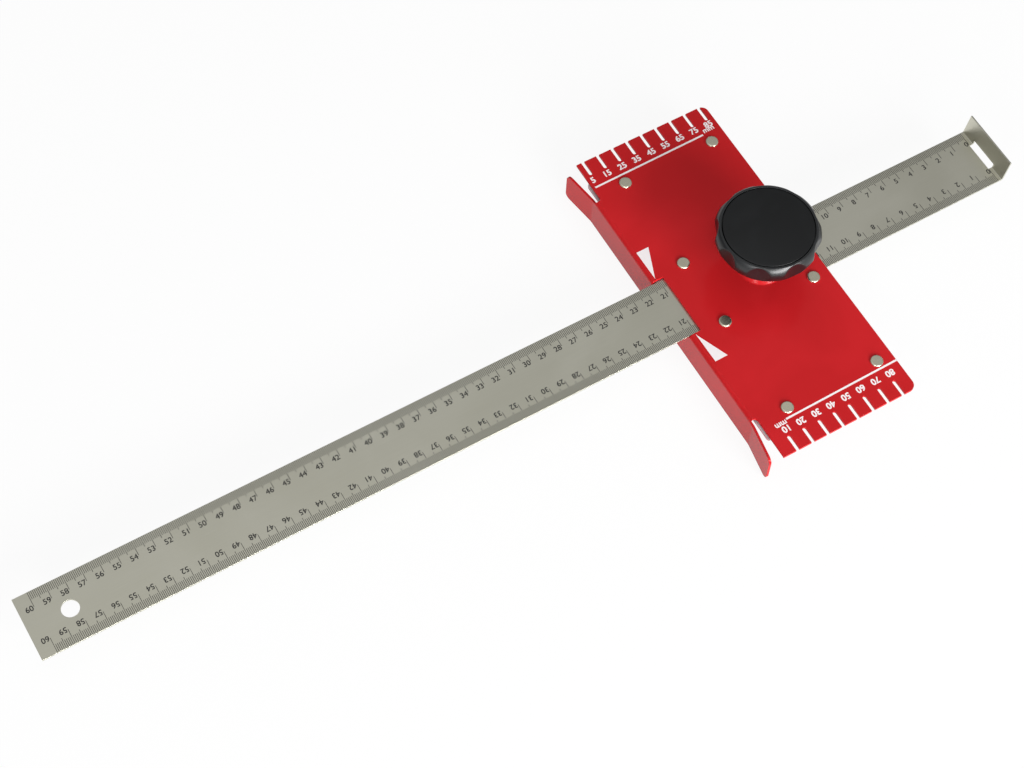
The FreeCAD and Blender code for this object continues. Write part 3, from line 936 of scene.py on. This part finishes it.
def lobed_knob_tree():
    """A turned knob with scallops pressed into its rim, a hexagon pocket and ribs below."""
    tree, given, end = new_group(
        "lobed_knob",
        "GeometryNodeTree",
        {"Knob": "Geometry"},
        {
            "Section": ("Geometry", None),
            "Segments": ("Int", SEGMENTS),
            "Axis": ("Vector", None),
            "Lobes": ("Int", KNOB_LOBES),
            "Phase": ("Float", 0.0),
            "Scallop Radius": ("Float", 10.0),
            "Scallop Floor": ("Float", 28.0),
            "Softness": ("Float", 0.5),
            "Pocket Flats": ("Float", 6.0),
            "Rib Inside": ("Float", 13.0),
            "Rib Outside": ("Float", 23.0),
            "Rib Bottom": ("Float", 36.0),
            "Rib Top": ("Float", 45.0),
            "Rib Thickness": ("Float", 2.0),
            "Material": ("Material", None),
        },
    )
    turned = turned_on(tree, given["Section"], given["Segments"])
    place = add(
        tree,
        "ShaderNodeSeparateXYZ",
        {"Vector": tree.nodes.new("GeometryNodeInputPosition").outputs[0]},
    ).outputs
    angle = reckon(tree, "ARCTAN2", place["Y"], place["X"])
    y_squared = reckon(tree, "POWER", place["Y"], 2.0)
    radius = reckon(tree, "SQRT", reckon(tree, "MULTIPLY_ADD", place["X"], place["X"], y_squared))

    # A scallop is part of a cylinder that stands off the axis
    off_lobe = nearest_share(tree, angle, given["Lobes"], given["Phase"])
    stand_off = reckon(tree, "ADD", given["Scallop Floor"], given["Scallop Radius"])
    across = reckon(tree, "MULTIPLY", stand_off, reckon(tree, "SINE", off_lobe))
    inside = reckon(
        tree,
        "SUBTRACT",
        reckon(tree, "POWER", given["Scallop Radius"], 2.0),
        reckon(tree, "POWER", reckon(tree, "ABSOLUTE", across), 2.0),
    )
    depth = reckon(tree, "SQRT", reckon(tree, "MAXIMUM", inside, 0.0))
    along = reckon(tree, "MULTIPLY", stand_off, reckon(tree, "COSINE", off_lobe))
    scalloped = reckon(
        tree, "SMOOTH_MIN", radius, reckon(tree, "SUBTRACT", along, depth), given["Softness"]
    )

    # The pocket's wall is drawn at the radius of its flats and pushed out to a hexagon
    off_flat = nearest_share(tree, angle, 6.0, 0.0)
    hexagon = reckon(tree, "DIVIDE", given["Pocket Flats"], reckon(tree, "COSINE", off_flat))
    on_pocket = reckon(tree, "COMPARE", radius, given["Pocket Flats"], 0.01)
    shaped = add(
        tree,
        "GeometryNodeSwitch",
        {"Switch": on_pocket, "False": scalloped, "True": hexagon},
        input_type="FLOAT",
    ).outputs[0]
    pressed = add(
        tree,
        "GeometryNodeSetPosition",
        {
            "Geometry": turned,
            "Position": point_at(
                tree,
                reckon(tree, "MULTIPLY", shaped, reckon(tree, "COSINE", angle)),
                reckon(tree, "MULTIPLY", shaped, reckon(tree, "SINE", angle)),
                place["Z"],
            ),
        },
    )

    # Ribs stand between the scallops and reach a little into the core's walls and its head
    rib_length = reckon(tree, "SUBTRACT", given["Rib Outside"], given["Rib Inside"])
    rib_height = reckon(tree, "SUBTRACT", given["Rib Top"], given["Rib Bottom"])
    rib = add(
        tree,
        "GeometryNodeMeshCube",
        {
            "Size": point_at(
                tree,
                reckon(tree, "ADD", rib_length, RIB_SINK),
                given["Rib Thickness"],
                reckon(tree, "ADD", rib_height, RIB_SINK),
            )
        },
    )
    rib_radius = halfway(tree, given["Rib Inside"], given["Rib Outside"])
    rib_level = reckon(
        tree, "ADD", halfway(tree, given["Rib Bottom"], given["Rib Top"]), RIB_SINK / 2
    )
    stood = add(
        tree,
        "GeometryNodeTransform",
        {"Geometry": rib.outputs[0], "Translation": point_at(tree, rib_radius, 0.0, rib_level)},
    )
    hub = add(tree, "GeometryNodePoints", {"Count": given["Lobes"]})
    index = tree.nodes.new("GeometryNodeInputIndex").outputs[0]
    turns = reckon(tree, "MULTIPLY", reckon(tree, "ADD", index, 0.5), math.tau)
    share = reckon(tree, "DIVIDE", turns, given["Lobes"])
    ribs = add(
        tree,
        "GeometryNodeInstanceOnPoints",
        {
            "Points": hub.outputs[0],
            "Instance": stood.outputs[0],
            "Rotation": point_at(tree, z=reckon(tree, "ADD", share, given["Phase"])),
        },
    )
    whole = tree.nodes.new("GeometryNodeJoinGeometry")
    tree.links.new(pressed.outputs[0], whole.inputs[0])
    tree.links.new(ribs.outputs[0], whole.inputs[0])
    placed = add(
        tree, "GeometryNodeTransform", {"Geometry": whole.outputs[0], "Translation": given["Axis"]}
    )
    close_tree(tree, [placed.outputs[0]], given["Material"], end)
    return tree


def knob_section(bottom, top):
    """The knob's section, round from the foot of its bore."""
    head = top - KNOB_HEAD
    bulge = top - KNOB_BULGE_DROP
    seat = top - CAP_SEAT_DEPTH
    groove = CAP_RADIUS + CAP_GROOVE
    lower = bowed(
        (KNOB_FOOT_RADIUS, head), (KNOB_RADIUS, bulge), (KNOB_RADIUS - KNOB_FOOT_RADIUS) / 5, 24
    )
    upper = bowed(
        (KNOB_RADIUS, bulge), (KNOB_RIM_RADIUS, top), (KNOB_RADIUS - KNOB_RIM_RADIUS) / 3, 20
    )
    return rounded(
        [
            (SCREW_BORE, bottom, 0.2),
            (KNOB_HUB_RADIUS, bottom, 0.5),
            (KNOB_HUB_RADIUS, head, 0.4),
            (CORE_INNER_RADIUS, head, 0.3),
            (CORE_INNER_RADIUS, head + CORE_DEPTH, 0.8),
            (CORE_OUTER_RADIUS, head + CORE_DEPTH, 0.8),
            (CORE_OUTER_RADIUS, head, 0.3),
            *lower,
            *upper[1:-1],
            (KNOB_RIM_RADIUS, top, 0.12),
            (groove, top, 0.12),
            (groove, seat, 0.0),
            (POCKET_FLATS, seat, 0.0),
            (POCKET_FLATS, seat - POCKET_DEPTH, 0.0),
            (SCREW_BORE, seat - POCKET_DEPTH, 0.0),
        ]
    )


def cap_section(seat, top):
    """The cap's section: a slightly crowned disc with a rounded edge."""
    steps = 12
    edge = CAP_RADIUS - CAP_ROUNDING
    crown = [
        (edge * (1 - step / steps), top - CAP_CROWN * (1 - step / steps) ** 2, 0.0)
        for step in range(1, steps + 1)
    ]
    return rounded(
        [
            (0.0, seat, 0.0),
            (CAP_RADIUS, seat, 0.2),
            (CAP_RADIUS, top - CAP_CROWN, CAP_ROUNDING),
            *crown,
        ],
        steps=6,
    )


def clamp_knob():
    """The lobed knob and the cap in its top."""
    low, high = box_mm("knob_body")
    screw_low, screw_high = box_mm("clamp_screw")
    axis = Vector(((screw_low.x + screw_high.x) / 2, 0.0, 0.0))
    head = high.z - KNOB_HEAD
    knob = grown(
        lobed_knob_tree(),
        "lobed_knob",
        outline=section_mesh("knob_section", knob_section(low.z, high.z)),
        Axis=axis,
        Lobes=KNOB_LOBES,
        Phase=KNOB_PHASE,
        Scallop_Radius=SCALLOP_RADIUS,
        Scallop_Floor=SCALLOP_FLOOR,
        Softness=SCALLOP_SOFTNESS,
        Pocket_Flats=POCKET_FLATS,
        Rib_Inside=CORE_INNER_RADIUS,
        Rib_Outside=CORE_OUTER_RADIUS,
        Rib_Bottom=head,
        Rib_Top=head + CORE_DEPTH,
        Rib_Thickness=CORE_RIB,
        Material=KNOB_PLASTIC,
    )
    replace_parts(finished(knob, "clamp_knob", sharp_angle=40), "knob_body")
    cap_low, cap_high = box_mm("knob_cap")
    cap = grown(
        cap_tree(),
        "crowned_cap",
        outline=section_mesh("cap_section", cap_section(cap_low.z, cap_high.z)),
        Axis=axis,
        Material=CAP_PLASTIC,
    )
    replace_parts(finished(cap, "clamp_knob", sharp_angle=40), "knob_cap")


def coat_carried_nodes():
    """Finishes for the pieces whose own solids show."""
    coats = {
        "rivet": RIVET_STEEL,
        "spacer": TURNED_STEEL,
        "clamp_bush": TURNED_STEEL,
        "clamp_screw": TURNED_STEEL,
        "pressure_pad": PAD_BRASS,
    }
    for name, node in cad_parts.items():
        for words, material in coats.items():
            if words in name:
                for slot in node.material_slots:
                    slot.material = material


# Studio

def seen_white(tree, lit, share):
    """Mixes plain white into a shader where it is seen directly or in a reflection."""
    white = add(tree, "ShaderNodeEmission", {"Color": WHITE, "Strength": 1.0})
    path = tree.nodes.new("ShaderNodeLightPath").outputs
    seen = path["Is Camera Ray"]
    for ray in ("Is Glossy Ray", "Is Transmission Ray"):
        seen = reckon(tree, "MAXIMUM", seen, path[ray])
    return add(
        tree,
        "ShaderNodeMixShader",
        {0: reckon(tree, "MULTIPLY", seen, share), 1: lit, 2: white.outputs[0]},
    ).outputs[0]


def pale_floor():
    """A wide floor under the part, clear from below."""
    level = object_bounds()[0].z - FLOOR_DROP
    corners = ((-1, -1), (1, -1), (1, 1), (-1, 1))
    mesh = bpy.data.meshes.new("floor")
    mesh.from_pydata(
        [(x * FLOOR_REACH, y * FLOOR_REACH, level) for x, y in corners], [], [(0, 1, 2, 3)]
    )
    material = bpy.data.materials.new("pale_floor")
    material.use_nodes = True
    tree = material.node_tree
    tree.nodes.clear()
    matt = add(tree, "ShaderNodeBsdfDiffuse", {"Color": FLOOR_TINT})
    lit = seen_white(tree, matt.outputs[0], 0.9)
    clear = tree.nodes.new("ShaderNodeBsdfTransparent").outputs[0]
    behind = tree.nodes.new("ShaderNodeNewGeometry").outputs["Backfacing"]
    sided = add(tree, "ShaderNodeMixShader", {0: behind, 1: lit, 2: clear})
    add(tree, "ShaderNodeOutputMaterial", {0: sided.outputs[0]})
    mesh.materials.append(material)
    link_object("floor", mesh)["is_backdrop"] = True


def soft_surroundings():
    """Light from all round, weaker behind the knob, with white behind for the camera."""
    world = bpy.data.worlds.new("studio")
    bpy.context.scene.world = world
    world.use_nodes = True
    tree = world.node_tree
    tree.nodes.clear()
    way = tree.nodes.new("ShaderNodeTexCoord").outputs["Generated"]
    parts = add(tree, "ShaderNodeSeparateXYZ", {"Vector": way}).outputs
    height = parts["Z"]
    low = add(
        tree,
        "ShaderNodeMapRange",
        {
            "Value": parts["Y"],
            "From Min": -0.5,
            "From Max": 0.3,
            "To Min": FRONT_GLOW,
            "To Max": BACK_GLOW,
        },
    )
    side = add(
        tree,
        "ShaderNodeMapRange",
        {"Value": height, "From Max": 0.7, "To Min": low.outputs[0], "To Max": UPPER_GLOW},
    )
    top = add(
        tree,
        "ShaderNodeMapRange",
        {"Value": height, "From Min": 0.85, "To Max": ZENITH_GLOW - UPPER_GLOW},
    )
    glow = reckon(tree, "ADD", side.outputs[0], top.outputs[0])
    around = add(tree, "ShaderNodeBackground", {"Color": WHITE, "Strength": glow})
    behind = add(tree, "ShaderNodeBackground", {"Color": WHITE, "Strength": 1.0})
    direct = tree.nodes.new("ShaderNodeLightPath").outputs["Is Camera Ray"]
    mixed = add(
        tree, "ShaderNodeMixShader", {0: direct, 1: around.outputs[0], 2: behind.outputs[0]}
    )
    add(tree, "ShaderNodeOutputWorld", {0: mixed.outputs[0]})


def hang_lamps():
    """Soft boxes that face the middle of the comb plate."""
    low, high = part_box("slider_plate")
    target = (low + high) / 2
    for name, (azimuth, elevation, distance, width, height, power) in LAMPS.items():
        lamp = bpy.data.lights.new(name, "AREA")
        lamp.shape = "RECTANGLE"
        lamp.size = width
        lamp.size_y = height
        lamp.energy = power
        turn, rise = math.radians(azimuth), math.radians(elevation)
        away = Vector(
            (math.cos(turn) * math.cos(rise), math.sin(turn) * math.cos(rise), math.sin(rise))
        )
        holder = link_object(name, lamp)
        holder.location = target + away * distance
        holder.rotation_euler = away.to_track_quat("Z", "Y").to_euler()


def photo_camera():
    camera = bpy.data.cameras.new("photo_camera")
    camera.lens = CAMERA_LENS
    camera.sensor_width = 36.0
    camera.clip_start = 0.01
    camera.clip_end = 20.0
    holder = link_object("photo_camera", camera)
    holder.location = CAMERA_PLACE
    holder.rotation_euler = [math.radians(angle) for angle in CAMERA_TURN]
    bpy.context.scene.camera = holder


tumbled_sheet("slider_plate", RED_COAT, "slider")
tumbled_sheet("backing_plate", ZINC, "slider")
tumbled_sheet("ruler", STAINLESS, "ruler")
thin_characters = characters_tree()
figure_row = figure_row_tree(thin_characters)
ruler_scales(figure_row)
comb_scales(figure_row, thin_characters)
clamp_knob()
coat_carried_nodes()
pale_floor()
soft_surroundings()
hang_lamps()
photo_camera()
bpy.context.scene.view_settings.view_transform = "Standard"
